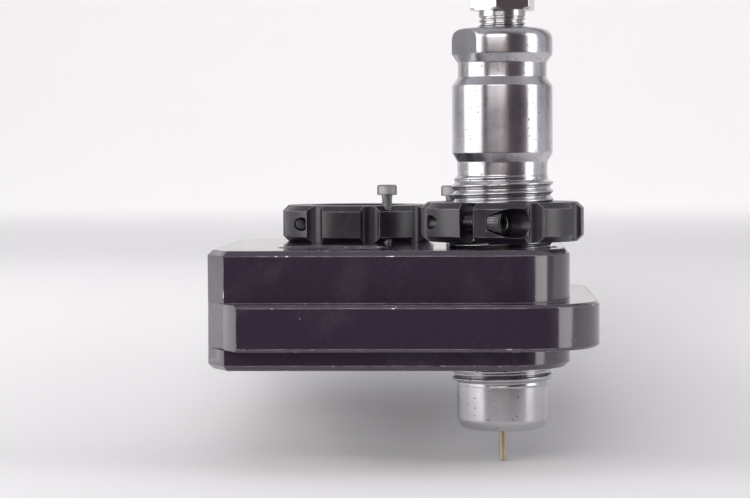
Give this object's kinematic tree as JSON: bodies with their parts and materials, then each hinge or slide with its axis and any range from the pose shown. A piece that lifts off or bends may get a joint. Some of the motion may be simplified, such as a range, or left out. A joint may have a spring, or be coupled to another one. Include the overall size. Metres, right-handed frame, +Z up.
{
  "type": "quick-change die head",
  "caption": "Slide-in plate with threaded die stations and floating split clamp rings, one ring holding a turned steel die with an adjustable centre spindle and pin.",
  "frame": {"origin": "the middle of the four stations, on the plate's top face", "axes": "+Z up along the dies; +X towards the rounded front end, the end that enters the press; +Y towards the side away from the die"},
  "size_m": [0.0838, 0.09, 0.1139],
  "materials": {
    "black_anodised_plate": "milled, then black anodised",
    "blackened_ring": "turned and blackened",
    "clamp_screw_steel": "blackened and worn bright",
    "stop_screw_steel": "plain bright",
    "polished_die_steel": "turned and polished",
    "bush_steel": "turned bright",
    "spindle_steel": "turned bright",
    "pin_steel": "drawn wire, slightly yellow"
  },
  "bodies": {
    "head": {"head_plate": "black_anodised_plate"},
    "die_ring": {"die_clamp_ring": "blackened_ring"},
    "die_clamp_screw": {"die_ring_clamp_screw": "clamp_screw_steel"},
    "die_stop_screw": {"die_ring_stop_screw": "stop_screw_steel"},
    "die": {"die_body": "polished_die_steel"},
    "bush": {"hex_bush": "bush_steel"},
    "spindle": {"spindle": "spindle_steel", "expander_button": "bush_steel"},
    "lock_nut": {"spindle_lock_nut": "spindle_steel"},
    "holder": {"pin_holder": "spindle_steel", "decapping_pin": "pin_steel"},
    "spare_pivot": {"spare_ring_stop_screw": "stop_screw_steel"},
    "spare_ring": {"spare_clamp_ring": "blackened_ring"},
    "spare_clamp_screw": {"spare_ring_clamp_screw": "clamp_screw_steel"}
  },
  "joints": [
    {"name": "die_ring_float", "type": "slide", "parent": "head", "child": "die_ring", "axis": [0, 0, 1], "range_m": [-0.0014, 0.0011]},
    {"name": "die_ring_clamp_screw_turn", "type": "hinge", "parent": "die_ring", "child": "die_clamp_screw", "pos_m": [0.01625, -0.03332, 0.00565], "axis": [0.8949, -0.4462, 0], "continuous": true},
    {"name": "die_ring_stop_screw_turn", "type": "hinge", "parent": "head", "child": "die_stop_screw", "pos_m": [0.00741, -0.00741, 0], "axis": [0, 0, 1], "continuous": true},
    {"name": "die_turn", "type": "hinge", "parent": "die_ring", "child": "die", "pos_m": [0.01865, -0.01865, 0], "axis": [0, 0, 1], "continuous": true},
    {"name": "hex_bush_turn", "type": "hinge", "parent": "die", "child": "bush", "pos_m": [0.01865, -0.01865, 0.05], "axis": [0, 0, 1], "continuous": true},
    {"name": "spindle_turn", "type": "hinge", "parent": "bush", "child": "spindle", "pos_m": [0.01865, -0.01865, 0.05], "axis": [0, 0, 1], "continuous": true},
    {"name": "lock_nut_turn", "type": "hinge", "parent": "spindle", "child": "lock_nut", "pos_m": [0.01865, -0.01865, 0.06], "axis": [0, 0, 1], "continuous": true},
    {"name": "pin_holder_turn", "type": "hinge", "parent": "spindle", "child": "holder", "pos_m": [0.01865, -0.01865, -0.03], "axis": [0, 0, 1], "continuous": true},
    {"name": "spare_ring_swing", "type": "hinge", "parent": "head", "child": "spare_pivot", "pos_m": [-0.00741, 0.00741, 0], "axis": [0, 0, 1], "range_deg": [-60, 18]},
    {"name": "spare_ring_float", "type": "slide", "parent": "spare_pivot", "child": "spare_ring", "axis": [0, 0, 1], "range_m": [0, 0.0025]},
    {"name": "spare_ring_clamp_screw_turn", "type": "hinge", "parent": "spare_ring", "child": "spare_clamp_screw", "pos_m": [-0.02932, 0.02383, 0.00425], "axis": [-0.1478, 0.989, 0], "continuous": true}
  ]
}
